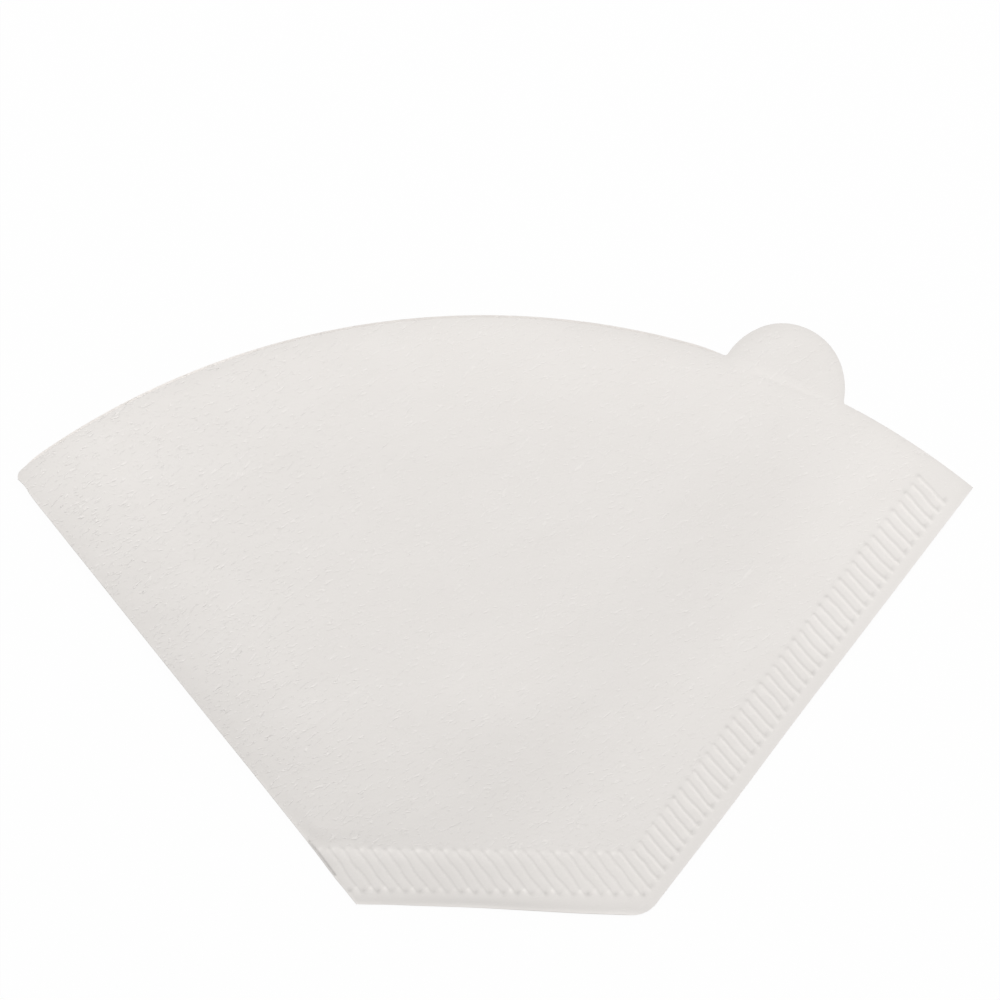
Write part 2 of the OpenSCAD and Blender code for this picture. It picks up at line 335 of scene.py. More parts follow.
# Droop of the plain margins beside the bands: most along the base's left half
SIDE_DROOP = 0.13
SIDE_DROOP_RUN = 1.5
BASE_DROOP = 0.25
BASE_DROOP_RUN = 2.3
CURL_LEFT = 1.1
CURL_RIGHT = 0.5
CURL_FROM = (-6, 20)
CURL_MORE = 0.4
CURL_MORE_AT = (-4.8, 5)
CLEARANCE = 0.01


def droop(p):
    """Fall of the plain margins beside the crimped bands, down to their cut edges"""
    side = np.clip(1 - from_side(p) / SIDE_DROOP_RUN, 0, 1)
    base = np.clip(1 - from_base(p) / BASE_DROOP_RUN, 0, 1)
    x = p[:, 0]
    curl = mix(CURL_LEFT, CURL_RIGHT, ramp(x, *CURL_FROM)) + CURL_MORE * bump(x, *CURL_MORE_AT)
    fall = np.maximum(SIDE_DROOP * side ** 2, BASE_DROOP * curl * base ** 2)
    return np.minimum(fall, EMBOSS - CLEARANCE)


# Soft swells and dents of the upper ply: place, reach and height
SWELLS = (
    ((-78, -21), 12, 0.2),
    ((-45, -43), 13, 0.1),
    ((53, 8), 21, -0.35),
    ((30, -20), 24, -0.35),
    ((0, 4), 23, 0.35),
    ((-3, -39), 8.5, 0.24),
    ((-28, -62), 8.5, 0.2),
    ((18, 29), 24, 0.35),
)
SWELL_NOISE = ((0.03, 26, 14, 18, 11), (0.02, 9, 4, 24, 12))
CREPE_NOISE = ((0.01, 3.4, 1.3, 36, 13), (0.006, 2.2, 1.2, 14, 14))

# Pinch at the fold's lower end, and faint creases: start, end, half width and height
PINCH = ((-31.75, -62.35), (-27.2, -67.95), 0.36, -0.15)
CREASES = (
    ((45.6, 18.3), (56.8, 13.9), 0.8, 0.028),
    ((-45.4, -0.5), (-33.3, 5.8), 0.6, 0.02),
    ((-33.8, -44.0), (-19.8, -34.5), 0.6, 0.02),
)

# Clear distances of the swells from the bands and the fold, and of the creping from the fold
SWELL_FROM_BAND = 4
SWELL_FROM_FOLD = 3
CREPE_FROM_FOLD = 1.5

# Share of the creping, and what it gains towards the fold and the base
CREPING = 0.68
LEFT_CREPING = 0.54
LEFT_FROM = (-5, -60)
LOW_CREPING = 0.22
LOW_FROM = (-18, -45)
BAND_CREPING = 0.3


def crease_at(p, crease):
    a, b, width, height = crease
    beside = to_segments(p, [(np.array(a), np.array(b))])
    return height * (1 - ramp(beside, 0, width))


def crepe_share(p):
    """How strongly the paper is creped: more so towards the fold and the base"""
    x, y = p.T
    return CREPING + LEFT_CREPING * ramp(x, *LEFT_FROM) + LOW_CREPING * ramp(y, *LOW_FROM)


def waves(p):
    """Swells, creases and creping of the upper ply, flat at the seams and the fold"""
    clear = ramp(from_side(p), SIDE_INNER, SWELL_FROM_BAND)
    clear *= ramp(from_base(p), BASE_INNER, SWELL_FROM_BAND)
    clear *= ramp(from_fold(p), 0, SWELL_FROM_FOLD)
    swell = layers_of_noise(p, SWELL_NOISE)
    for centre, size, height in SWELLS:
        swell = swell + height * blob(p, centre, size)
    crease = sum(crease_at(p, line) for line in CREASES)
    crepe = ramp(from_fold(p), 0, CREPE_FROM_FOLD) * crepe_share(p)
    return clear * swell + crease + crepe * layers_of_noise(p, CREPE_NOISE)


# Heights of the four faces of the folded sheet
WAVES_START = -0.1
WAVES_RUN = 0.3


def pressed(p):
    return 1 - ease(from_pocket(p) / SETTLE)


def pillow(p):
    past = from_mouth(p) / MOUTH_RUN
    mouth = mix(RIM_SHARE, 1, np.where(past < 0, TAB_FALL * past, ease(past)))
    return (
        PILLOW_H
        * ramp(from_side(p), SIDE_INNER, SIDE_RUN) ** SIDE_POWER
        * ease((from_base(p) - BASE_INNER) / BASE_RUN)
        * mix(FOLD_SHARE, 1, ease(from_fold(p) / FOLD_RUN))
        * mouth
    )


def under(p):
    return EMBOSS * pressed(p) - droop(p)


def over(p):
    """Face of the upper ply without its crimp; the waves grow with its rise"""
    rise = pillow(p)
    plain = PRESSED_TOP + rise + waves(p) * ramp(rise, WAVES_START, WAVES_RUN) - droop(p)
    return np.maximum(plain + crease_at(p, PINCH), 2 * PAPER + PLY_GAP)


def topside(p):
    return over(p) + crimp(p)


def lower_inside(p):
    return under(p) + PAPER


def upper_inside(p):
    """Underside of the upper ply in the pocket, closed onto the lower one at the bands"""
    return np.maximum(over(p) - PAPER, lower_inside(p))


def underside(p):
    """Underside of the lower ply, with the ribs in the bands only"""
    return under(p) - rib_depth(p) * ramp(from_pocket(p), RIB_FADE, -RIB_FADE)


# Outlines, counter-clockwise from the fold's foot
BASE_POINTS = 60
MOUTH_POINTS = 1000
CORNER_POINTS = 16
TURN_POINTS = 24
TAB_POINTS = 90
SHARP_TURN = 20
FLUSH_TURN = 0.03
LOW_SPACING = 0.55
UP_SPACING = 0.5
FOLD_SPACING = 0.6
CLOSURE_SPACING = 1.2


def arc(c, r, start, end, steps):
    return [c + r * heading(mix(start, end, k / steps)) for k in range(steps + 1)]


def resample(loop, spacing):
    """Points along an open line at about even spacing, with its sharp corners kept"""
    loop = np.array(loop)
    out = [loop[0]]
    turns = [0]
    for k in range(1, len(loop) - 1):
        a, b = unit(loop[k] - loop[k - 1]), unit(loop[k + 1] - loop[k])
        if a @ b < math.cos(math.radians(SHARP_TURN)):
            turns.append(k)
    turns.append(len(loop) - 1)
    for start, end in zip(turns[:-1], turns[1:]):
        part = loop[start:end + 1]
        steps = np.linalg.norm(np.diff(part, axis=0), axis=1)
        at = np.concatenate([[0], np.cumsum(steps)])
        count = max(1, round(at[-1] / spacing))
        for s in np.linspace(0, at[-1], count + 1)[1:]:
            out.append(np.array([np.interp(s, at, part[:, 0]), np.interp(s, at, part[:, 1])]))
    return np.array(out)


def on_fold(s, w):
    """Point at the distance s up the fold line from its foot and w inwards from it"""
    return FOLD_FOOT - FOLD_DIR * s + FOLD_IN * w


def seam_corner():
    """Centre of the round corner between the side seam and the base"""
    rise = (1 - SIDE_IN @ FOOT_IN) / (-SIDE_DIR @ FOOT_IN)
    return SEAM_FOOT + (SIDE_IN - SIDE_DIR * rise) * SEAM_CORNER_R


def base_line(step, flush):
    """Cut edge of one ply along the base, from near the fold to the seam corner's start"""
    start = FOLD_FOOT + FOOT * FOLD_R / (FOOT @ FOLD_IN)
    end = seam_corner() - FOOT_IN * (SEAM_CORNER_R - flush)
    points = []
    for k in range(BASE_POINTS + 1):
        t = k / BASE_POINTS
        back = flush * smooth(t / FLUSH_TURN) + step * 4 * t * (1 - t)
        points.append(mix(start, end, t) + FOOT_IN * back)
    return points


def mouth_line(step, flush):
    """Cut edge of one ply along the mouth, from the seam corner to the fold"""
    start = angle_of(SEAM_TOP - MOUTH_C)
    a = FOLD_FOOT + FOLD_IN * FOLD_CORNER_R
    corner = a - FOLD_DIR * reach(a, -FOLD_DIR, MOUTH_C, MOUTH_R - FOLD_CORNER_R)
    end = angle_of(corner - MOUTH_C)
    tab_left = angle_of(TAB_C - MOUTH_C) + math.degrees(TAB_R / MOUTH_R)
    points = []
    for k in range(MOUTH_POINTS + 1):
        angle = mix(start, end, k / MOUTH_POINTS)
        back = mix(flush, step, ramp(angle, tab_left, STEP_TURN))
        back *= ramp(angle, end, -STEP_TURN)
        points.append(MOUTH_C + (MOUTH_R - back) * heading(angle))
    last = 360 + angle_of(-FOLD_IN)
    for k in range(1, TURN_POINTS + 1):
        p = corner + FOLD_CORNER_R * heading(mix(end, last, k / TURN_POINTS))
        if from_fold(p) <= FOLD_R:
            break
        points.append(p)
    previous = points[-1]
    share = (from_fold(previous) - FOLD_R) / (from_fold(previous) - from_fold(p))
    points.append(mix(previous, p, share))
    return points


def with_tab(line):
    """The mouth's cut edge with the tab's round added"""
    line = np.array(line)
    within = np.hypot(*(line - TAB_C).T) < TAB_R
    first, last = np.where(within)[0][[0, -1]]
    right, left = line[first - 1], line[last + 1]
    round_edge = arc(TAB_C, TAB_R, angle_of(right - TAB_C), angle_of(left - TAB_C), TAB_POINTS)
    return list(line[:first]) + round_edge[1:-1] + list(line[last + 1:])


def outline(upper):
    flush = FLUSH_STEP if upper else 0
    base = base_line(BASE_STEP if upper else 0, flush)
    turn = arc(
        seam_corner(),
        SEAM_CORNER_R - flush,
        angle_of(-FOOT_IN),
        angle_of(-SIDE_IN),
        CORNER_POINTS,
    )
    mouth = mouth_line(RIM_STEP if upper else 0, flush)
    side_end = mouth[0] + SIDE_IN * flush
    if upper:
        mouth = with_tab(mouth)
    return base[:-1] + turn + [side_end] + mouth[1:]


def fold_line(edge):
    """Points up the fold, between the first and the last point of a ply's cut edge"""
    start, end = up_fold(edge[0]), up_fold(edge[-1])
    count = round((end - start) / FOLD_SPACING)
    return np.array([on_fold(s, FOLD_R) for s in np.linspace(start, end, count + 1)])


LOW_EDGE = resample(outline(False), LOW_SPACING)
UP_EDGE = resample(outline(True), UP_SPACING)
FOLD_EDGE = fold_line(LOW_EDGE)
UP_EDGE[0] = FOLD_EDGE[0] = LOW_EDGE[0]
UP_EDGE[-1] = FOLD_EDGE[-1] = LOW_EDGE[-1]
UP_LOOP = np.concatenate([UP_EDGE, FOLD_EDGE[-2:0:-1]])
LOW_LOOP = np.concatenate([LOW_EDGE, FOLD_EDGE[-2:0:-1]])
BOX_LOW = UP_LOOP.min(0) - 1
BOX_HIGH = UP_LOOP.max(0) + 1


# Where the plies close on each other, inside the crimped bands
def closure_index(edge):
    """Vertex of an edge at the mouth where the side closure line meets it"""
    side = from_side(edge)
    near_mouth = from_base(edge) > SIDE_H / 2
    candidates = np.where(near_mouth & (side > 0))[0]
    return candidates[np.argmin(np.abs(side[candidates] - SIDE_INNER - CLOSURE))]


def closure_corner():
    a = SEAM_FOOT + SIDE_IN * (SIDE_INNER + CLOSURE)
    t = (BASE_INNER + CLOSURE - from_base(a)) / (-SIDE_DIR @ BAND_IN)
    return a - SIDE_DIR * t


FOLD_AT = int(np.argmin(np.abs(from_base(FOLD_EDGE) - BASE_INNER - CLOSURE)))
UP_AT = closure_index(UP_EDGE)
LOW_AT = closure_index(LOW_EDGE)
CLOSURE_LINE = resample([FOLD_EDGE[FOLD_AT], closure_corner(), UP_EDGE[UP_AT]], CLOSURE_SPACING)

# Spacings and clear distances of the points on the faces, and rows beside grooves and creases
TOP_SPACING = 0.52
LOWER_SPACING = 1.7
LOWER_CLEAR = 0.6
POCKET_SPACING = 1.5
POCKET_CLEAR = 1.2
STRIP_CLEAR = 0.1
EDGE_CLEAR = 0.55
MERGE_DISTANCE = 1e-7
JOIN_GRID = 1e4
ON_LINE = 1e-3
GROOVE_ROWS = (0.11, 0.2, 0.3, 0.42, 0.6)
GROOVE_SPACING = 0.42
CREASE_ROWS = (0.15, 0.3, 0.45)
CREASE_SPACING = 0.4
CREASE_CLEAR = 0.7
RIB_ROWS = (0.2, 0.36, 0.55)
RIB_SPACING = 0.9
RIB_CLEAR = 1.05
END_TURN = 30
FOLD_STEPS = 8


def hexes(spacing, low, high):
    rows = np.arange(low[1], high[1], spacing * math.sqrt(3) / 2)
    points = []
    for k, y in enumerate(rows):
        x = np.arange(low[0] + (k % 2) * spacing / 2, high[0], spacing)
        points.append(np.column_stack([x, np.full(len(x), y)]))
    return np.concatenate(points)


def near(p, edge, limit):
    """Marks the points that are nearer than the limit to a vertex of the edge"""
    table = {}
    for q in edge:
        key = (math.floor(q[0] / limit), math.floor(q[1] / limit))
        table.setdefault(key, []).append(q)
    keys = np.floor(p / limit).astype(int)
    close = np.zeros(len(p), bool)
    for k, (i, j) in enumerate(keys):
        for di in (-1, 0, 1):
            for dj in (-1, 0, 1):
                for q in table.get((i + di, j + dj), ()):
                    if (p[k, 0] - q[0]) ** 2 + (p[k, 1] - q[1]) ** 2 < limit * limit:
                        close[k] = True
    return close


def inside(p, loop):
    """Marks the points within a closed loop"""
    x, y = p[:, 0], p[:, 1]
    hit = np.zeros(len(p), bool)
    for a, b in zip(loop, np.roll(loop, -1, axis=0)):
        crosses = (a[1] > y) != (b[1] > y)
        slope = (b[0] - a[0]) / (b[1] - a[1]) if b[1] != a[1] else 0.0
        hit ^= crosses & (x < a[0] + slope * (y - a[1]))
    return hit


def both_sides(rows):
    return tuple(-row for row in reversed(rows)) + (0,) + rows


def points_along(lines, offsets, spacing):
    """Rows of points beside each line, and round its ends"""
    points = []
    for a, b in lines:
        way = unit(b - a)
        side = left_of(way)
        length = np.linalg.norm(b - a)
        along = np.linspace(0, length, max(2, round(length / spacing)) + 1)
        for offset in offsets:
            points.append(a + along[:, None] * way + offset * side)
            if offset > 0:
                for centre, turn in ((a, 90), (b, -90)):
                    for k in range(1, 180 // END_TURN):
                        angle = angle_of(way) + turn + END_TURN * k
                        points.append((centre + offset * heading(angle))[None])
    return np.concatenate(points)


def fill(loop, points, spacing):
    """Triangles over a loop in plan, through the loop's points and the given ones"""
    loop = np.array(loop)
    points = points[inside(points, loop) & ~near(points, loop, EDGE_CLEAR * spacing)]
    every = np.concatenate([loop, points])
    made = delaunay_2d_cdt(
        [Vector(q) for q in every.tolist()], [], [list(range(len(loop)))], 1, MERGE_DISTANCE
    )
    kept = [every[own[0]] if own else np.array(v) for v, own in zip(made[0], made[3])]
    return np.array(kept), np.array(made[2])


class Shell:
    """Collects patches of triangles, and joins them where their corners meet"""

    def __init__(self):
        self.points = []
        self.faces = []
        self.count = 0

    def add(self, points, faces, flip=False):
        faces = np.array(faces) + self.count
        if flip:
            faces = faces[:, ::-1]
        self.points.append(np.array(points))
        self.faces.append(faces)
        self.count += len(points)

    def strip(self, rows, flip=False):
        """Quads between rows of equally many points, as triangles"""
        count = len(rows[0])
        faces = []
        for r in range(len(rows) - 1):
            for c in range(count - 1):
                a, b = r * count + c, r * count + c + 1
                d, e = a + count, b + count
                faces += [[a, b, e], [a, e, d]]
        self.add(np.concatenate(rows), faces, flip)

    def joined(self):
        points = np.concatenate(self.points)
        faces = np.concatenate(self.faces)
        keys = np.round(points * JOIN_GRID).astype(np.int64)
        _, first, where = np.unique(keys, axis=0, return_index=True, return_inverse=True)
        faces = where.reshape(-1)[faces]
        good = (
            (faces[:, 0] != faces[:, 1])
            & (faces[:, 1] != faces[:, 2])
            & (faces[:, 2] != faces[:, 0])
        )
        return points[first], faces[good]


def raise_to(p, z):
    p = np.atleast_2d(p)
    return np.column_stack([p, np.broadcast_to(z, len(p))])


def pinched(p, z):
    """Brings a face of the pocket onto the level of the closure along its line"""
    return np.where(near(p, CLOSURE_LINE, ON_LINE), lower_inside(p), z)


def add_top(shell):
    field = hexes(TOP_SPACING, BOX_LOW, BOX_HIGH)
    clear = TOP_SPACING / 2
    at_grooves = points_along(GROOVES, both_sides(GROOVE_ROWS), GROOVE_SPACING)
    lines = [(np.array(a), np.array(b)) for a, b, _, _ in (PINCH, *CREASES)]
    at_creases = points_along(lines, both_sides(CREASE_ROWS), CREASE_SPACING)
    at_creases = at_creases[to_segments(at_creases, GROOVES) > CREASE_CLEAR]
    field = field[to_segments(field, GROOVES) > GROOVE_ROWS[-1] + clear]
    field = field[to_segments(field, lines) > CREASE_ROWS[-1] + clear]
    xy, faces = fill(UP_LOOP, np.concatenate([at_grooves, at_creases, field]), TOP_SPACING)
    shell.add(raise_to(xy, topside(xy)), faces)


def add_underside(shell):
    field = hexes(LOWER_SPACING, BOX_LOW, BOX_HIGH)
    at_ribs = points_along(GROOVES, both_sides(RIB_ROWS), RIB_SPACING)
    field = field[to_segments(field, GROOVES) > RIB_CLEAR]
    xy, faces = fill(LOW_LOOP, np.concatenate([at_ribs, field]), LOWER_CLEAR)
    shell.add(raise_to(xy, underside(xy)), faces, flip=True)


def add_pocket(shell):
    """The two faces that look into the pocket, which meet along the closure line"""
    field = hexes(POCKET_SPACING, BOX_LOW, BOX_HIGH)
    back = FOLD_EDGE[-2:FOLD_AT:-1]
    upper_loop = np.concatenate([CLOSURE_LINE, UP_EDGE[UP_AT + 1:], back])
    xy, faces = fill(upper_loop, field, POCKET_CLEAR)
    shell.add(raise_to(xy, pinched(xy, upper_inside(xy))), faces, flip=True)
    lower_loop = np.concatenate([CLOSURE_LINE, LOW_EDGE[LOW_AT:], back])
    xy, faces = fill(lower_loop, field, POCKET_CLEAR)
    shell.add(raise_to(xy, lower_inside(xy)), faces)


def add_cut_edges(shell):
    """Both plies' cut edges, and the strip of the lower ply between them along the bands"""
    strip_loop = np.concatenate([LOW_EDGE[:LOW_AT + 1], UP_EDGE[UP_AT:0:-1]])
    xy, faces = fill(strip_loop, np.empty((0, 2)), STRIP_CLEAR)
    shell.add(raise_to(xy, lower_inside(xy)), faces)
    open_part = np.arange(len(UP_EDGE)) > UP_AT
    bottom = np.where(open_part, upper_inside(UP_EDGE), lower_inside(UP_EDGE))
    shell.strip([raise_to(UP_EDGE, bottom), raise_to(UP_EDGE, topside(UP_EDGE))])
    low_rows = [underside(LOW_EDGE), lower_inside(LOW_EDGE)]
    shell.strip([raise_to(LOW_EDGE, z) for z in low_rows])


def fold_rows(edge, high, low, depth):
    """Half round from the upper to the lower level, bulging out past the edge"""
    rows = []
    for k in range(FOLD_STEPS + 1):
        a = math.pi * k / FOLD_STEPS
        z = (high + low) / 2 + (high - low) / 2 * math.cos(a)
        out = edge - FOLD_IN * (depth * math.sin(a))[:, None]
        rows.append(np.column_stack([out, z]))
    return rows


def add_fold(shell):
    """The round of the fold, outside and inside, and its two ends"""
    outer_depth = np.full(len(FOLD_EDGE), FOLD_R)
    outer = fold_rows(FOLD_EDGE, topside(FOLD_EDGE), underside(FOLD_EDGE), outer_depth)
    shell.strip(outer)
    open_edge = FOLD_EDGE[FOLD_AT:]
    high, low = pinched(open_edge, upper_inside(open_edge)), lower_inside(open_edge)
    inner = fold_rows(open_edge, high, low, np.minimum(FOLD_R, high - low) / 4)
    shell.strip(inner, flip=True)
    shell.strip([[row[-1] for row in inner], [row[-1] for row in outer]])
    centre = raise_to(FOLD_EDGE[0], lower_inside(FOLD_EDGE[:1]))
    shell.strip([[centre[0]] * (FOLD_STEPS + 1), [row[0] for row in outer]], flip=True)


# Sways of the cut base: middle and width as shares of its length, and height
SWAYS = ((0.02, 0.06, -0.13), (0.4, 0.16, 0.12), (0.78, 0.12, -0.08))
# Waves of the fold and the side seam: middle and width up from the foot, and height
FOLD_WAVES = ((5.5, 4.5, -0.17), (28, 14, 0.08), (92.0, 1.6, 0.25))
SEAM_WAVES = ((22, 12, -0.11), (47, 14, 0.08))
# How far into the sheet each of them reaches
SWAY_DEPTH = 3
FOLD_WAVE_DEPTH = 4
SEAM_WAVE_DEPTH = 2

# Pulls on the outline at the fold's corner and round the tab: place, reach and pull
PULLS = (
    ((-81.75, 2.1), 2.3, (0.26, -0.36)),
    ((40.3, 21.9), 3.0, (0.04, -0.33)),
    ((44.1, 25.1), 4.0, (0.17, -0.16)),
    ((60.8, 16.5), 5.0, (-0.17, 0.0)),
)


def bumps(t, parts):
    return sum(height * bump(t, middle, width) for middle, width, height in parts)


def settle_outline(points):
    """Moves the points near the outline by the small departures of the real one"""
    flat = points[:, :2]
    sway = bumps(((flat - FOLD_FOOT) @ FOOT) / BASE_W, SWAYS)
    sway *= ramp(from_cut_base(flat), SWAY_DEPTH, -SWAY_DEPTH)
    fold_wave = bumps(up_fold(flat), FOLD_WAVES)
    fold_wave *= ramp(from_fold(flat), FOLD_WAVE_DEPTH, -FOLD_WAVE_DEPTH)
    seam_wave = bumps(-(flat - SEAM_FOOT) @ SIDE_DIR, SEAM_WAVES)
    seam_wave *= ramp(from_side(flat), SEAM_WAVE_DEPTH, -SEAM_WAVE_DEPTH)
    moved = flat + np.outer(sway, FOOT_IN) + np.outer(fold_wave, FOLD_IN)
    moved = moved + np.outer(seam_wave, SIDE_IN)
    for centre, size, pull in PULLS:
        moved = moved + np.outer(blob(flat, centre, size), pull)
    return np.column_stack([moved, points[:, 2]])


# Painted highlights and shade at the grooves' ends: on the base, at the outer end, offset across,
# outwards, tone
GROOVE_END_SHADES = (
    (False, True, 0.6, -0.3, -0.1),
    (False, False, 0.0, -0.33, -0.07),
    (True, True, 0.55, 0.35, -0.12),
    (True, True, -0.19, -0.72, 0.11),
    (True, False, 0.73, 0.5, 0.1),
    (True, False, 0.05, -0.35, -0.035),
)
GROOVE_END_SHADE_R = 0.36
GROOVE_END_SHADE_SEED = 5
GROOVE_END_SHADE_SPREAD = (0.45, 1.55)


def groove_end_shading(flat):
    """Change of tone from small dots of painted highlight and painted shade at the ends of the
    grooves
    """
    chance = np.random.default_rng(GROOVE_END_SHADE_SEED)
    change = np.zeros(len(flat))
    for i, (inner, outer) in enumerate(GROOVES):
        way = unit(outer - inner)
        for on_base, at_outer, across, along, painted_light_and_shade in GROOVE_END_SHADES:
            strength = painted_light_and_shade * chance.uniform(*GROOVE_END_SHADE_SPREAD)
            if on_base != (i > SIDE_COUNT):
                continue
            centre = (outer if at_outer else inner) + way * along + left_of(way) * across
            change += strength * blob(flat, centre, GROOVE_END_SHADE_R)
    return change


# Painted light and shade in the paper's colour: an AT is a bump's middle and width, and a FROM a
# ramp's start and run
RIM_TONE = -0.05
MORE_RIM_TONE = -0.03
MORE_RIM_AT = (28, 20)
RIM_REACH = 1.8
RIGHT_RIM_REACH = 0.9
RIGHT_RIM_FROM = (45, 15)
WING_TONE = 0.022
WING_FROM = (42, 30)
WING_UP_FROM = (-50, 25)
SEAM_TONE = 0.012
SEAM_AT = (16, 8)
SEAM_UP_FROM = (-62, 25)
CRIMP_TONE = -0.052
CRIMP_LEFT_FROM = (22, -30)
CRIMP_FROM = (BASE_INNER, -3)
PINCH_TONE = -0.25
FOLD_PALE = 0.24
FOLD_PALE_REACH = 0.2
BESIDE_FOLD_TONE = -0.02
BESIDE_FOLD_AT = (0.6, 0.4)
FOLD_FOOT_TONE = -0.035
FOLD_FOOT_UP_AT = (12, 6)
FOLD_FOOT_AT = (1.6, 1.3)
BASE_PALE = 0.125
SIDE_PALE = 0.045
EDGE_PALE_REACH = 0.3
MARGIN_TONE = -0.008
MORE_MARGIN_TONE = -0.028
MORE_MARGIN_AT = (3, 12)
MARGIN_AT = (1.0, 0.8)

# Painted light on the strip of the lower ply past the upper one's cut edge, as a share of the
# tone
STEP_TONE = 1.12
LEFT_STEP_TONE = 1.18
MID_STEP_TONE = 1.07
MID_STEP_FROM = (-48, 16)
MOUTH_STRIP = 3 * RIM_STEP
OTHER_STRIP = 0.2
STRIP_LEVEL = 0.02


# Painted shade along the mouth's rim and round the tab's edge, reaching less far on the right
def rim_shade(flat):
    rim = np.maximum(from_mouth(flat), TAB_R - np.hypot(*(flat - TAB_C).T))
    x = flat[:, 0]
    depth = RIM_TONE + MORE_RIM_TONE * bump(x, *MORE_RIM_AT)
    return depth * fading(rim, mix(RIM_REACH, RIGHT_RIM_REACH, ramp(x, *RIGHT_RIM_FROM)))


def field_shade(flat):
    """Painted light on the wings and the seam side, and painted shade on the crimp towards the
    base's left
    """
    x, y = flat.T
    wings = WING_TONE * ramp(np.abs(x), *WING_FROM) * ramp(y, *WING_UP_FROM)
    seam = SEAM_TONE * bump(from_side(flat), *SEAM_AT) * ramp(y, *SEAM_UP_FROM)
    on_crimp = ramp(from_base(flat), *CRIMP_FROM)
    return wings + seam + CRIMP_TONE * ramp(x, *CRIMP_LEFT_FROM) * on_crimp


# Painted light on the round of the fold, and painted shade beside it, at its foot and along the
# pinch
def fold_shade(flat):
    off_fold = np.maximum(from_fold(flat), 0)
    foot = bump(up_fold(flat), *FOLD_FOOT_UP_AT) * bump(off_fold, *FOLD_FOOT_AT)
    return (
        FOLD_PALE * fading(off_fold, FOLD_PALE_REACH)
        + BESIDE_FOLD_TONE * bump(off_fold, *BESIDE_FOLD_AT)
        + FOLD_FOOT_TONE * foot
        + PINCH_TONE * crease_at(flat, (*PINCH[:3], 1))
    )


# Painted light right at the cut edges of the base and the side seam, and painted shade on the
# base's margin
def seam_edge_shade(flat):
    off_base = np.maximum(from_cut_base(flat), 0)
    margin = MARGIN_TONE + MORE_MARGIN_TONE * bump(flat[:, 0], *MORE_MARGIN_AT)
    return (
        BASE_PALE * fading(off_base, EDGE_PALE_REACH)
        + margin * bump(off_base, *MARGIN_AT)
        + SIDE_PALE * fading(from_side(flat), EDGE_PALE_REACH)
    )


def shading(points):
    """Painted light and shade in the paper's colour: painted shade along the rim and on the
    base's crimp, and painted light right at the cut edges and the fold, and where one thin ply
    lies open"""
    flat, height = points[:, :2], points[:, 2]
    painted_light_and_shade = 1 + rim_shade(flat) + field_shade(flat) + fold_shade(flat)
    painted_light_and_shade += seam_edge_shade(flat) + groove_end_shading(flat)
    # Painted light on the open strip of the lower ply at the mouth and along the seams
    at_mouth = from_mouth(flat) < MOUTH_STRIP
    at_seams = (from_cut_base(flat) < OTHER_STRIP) | (from_side(flat) < OTHER_STRIP)
    on_lower = np.abs(height - lower_inside(flat)) < STRIP_LEVEL
    mouth_strip_light = mix(LEFT_STEP_TONE, MID_STEP_TONE, ramp(flat[:, 0], *MID_STEP_FROM))
    strip_light = np.where(at_mouth, mouth_strip_light, STEP_TONE)
    return np.where(on_lower & (at_mouth | at_seams), strip_light, painted_light_and_shade)


# The sheet, with its origin in the middle of the box round the part, as in the frame
ORIGIN = np.array([0.36488, -23.2682])
SHARP_ANGLE = 55

shell = Shell()
add_top(shell)
add_underside(shell)
add_pocket(shell)
add_cut_edges(shell)
add_fold(shell)
points, faces = shell.joined()
# Painted light and shade, point by point, that the paper's colour is multiplied by
painted_shading = shading(points)
creping = crepe_share(points[:, :2]) * mix(BAND_CREPING, 1, smooth(from_pocket(points[:, :2])))
points = settle_outline(points)
points[:, :2] -= ORIGIN

mesh = bpy.data.meshes.new("filter_sheet")
mesh.from_pydata((points / 1000).tolist(), [], faces.tolist())
# The painted light and shade go to the paper's material as a point attribute
mesh.attributes.new("painted_light_and_shade", "FLOAT", "POINT").data.foreach_set("value", painted_shading)
mesh.attributes.new("creping", "FLOAT", "POINT").data.foreach_set("value", creping)
mesh.validate()
mesh.shade_smooth()
mesh.set_sharp_from_angle(angle=math.radians(SHARP_ANGLE))
sheet = bpy.data.objects.new("filter_sheet", mesh)
bpy.context.scene.collection.objects.link(sheet)
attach(sheet, "root")
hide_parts("filter")
print("filter_sheet", len(points), "points", len(faces), "triangles")


# Shared ways to make materials and nodes
def new_material(name):
    material = bpy.data.materials.new(name)
    material.use_nodes = True
    tree = material.node_tree
    tree.nodes.clear()
    return material, tree


def node(tree, kind, **values):
    made = tree.nodes.new(kind)
    for name, value in values.items():
        setattr(made, name, value)
    return made


# Paper: two families of fine wrinkles over a finer fibre, whose crests get a painted highlight
DEEP_PAPER = (0.800, 0.770, 0.742, 1)
PALE_PAPER = (0.830, 0.802, 0.776, 1)
PAPER_ROUGHNESS = 0.85
PAPER_GLOSS = 0.2
CREPE_H = 0.00004
FIBRE_H = 0.000015
CREST_HIGHLIGHT = 0.06
WRINKLE_START = 0.58
WRINKLE_FULL = 0.74
NOISE_ROUGHNESS = 0.55
NOISE_DISTORTION = 0.7

material, tree = new_material("crepe_paper")
links = tree.links
output = node(tree, "ShaderNodeOutputMaterial")
shader = node(tree, "ShaderNodeBsdfPrincipled")
shader.inputs["Roughness"].default_value = PAPER_ROUGHNESS
shader.inputs["Specular IOR Level"].default_value = PAPER_GLOSS
links.new(shader.outputs[0], output.inputs["Surface"])
place = node(tree, "ShaderNodeTexCoord")


